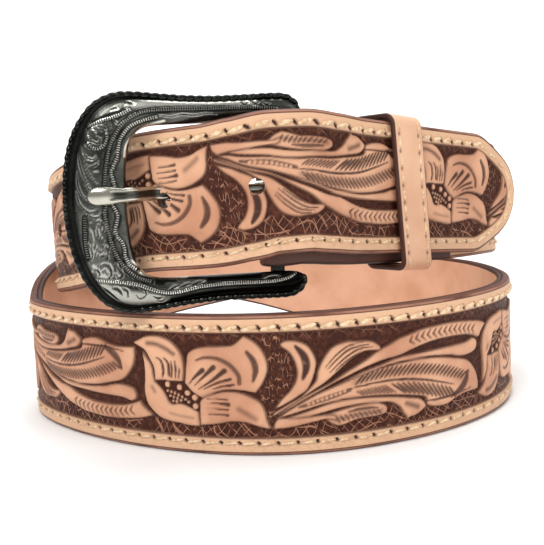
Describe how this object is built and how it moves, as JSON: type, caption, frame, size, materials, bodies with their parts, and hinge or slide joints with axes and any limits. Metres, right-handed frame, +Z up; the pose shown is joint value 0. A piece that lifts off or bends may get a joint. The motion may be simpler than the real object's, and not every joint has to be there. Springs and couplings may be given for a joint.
{
  "type": "leather belt",
  "caption": "Fastened leather belt with floral tooling, a domed horseshoe buckle, prong and keeper, coiled twice round and standing on its edge.",
  "frame": {"origin": "under the middle of the coiled belt, at the level of the surface it stands on", "axes": "+Z up across the strap, -Y towards the buckle's face, +X towards the strap's tip"},
  "size_m": [0.1676, 0.159, 0.0975],
  "materials": {
    "strap_leather": "tooled, dyed background, burnished edge",
    "keeper_leather": "smooth natural",
    "frame_metal": "engraved, antiqued silver",
    "prong_metal": "polished, antiqued silver",
    "snap_metal": "plain"
  },
  "bodies": {
    "root": {"strap": "strap_leather", "keeper": "keeper_leather", "buckle_frame": "frame_metal", "prong": "prong_metal", "snap_near": "snap_metal", "snap_far": "snap_metal"}
  },
  "joints": []
}
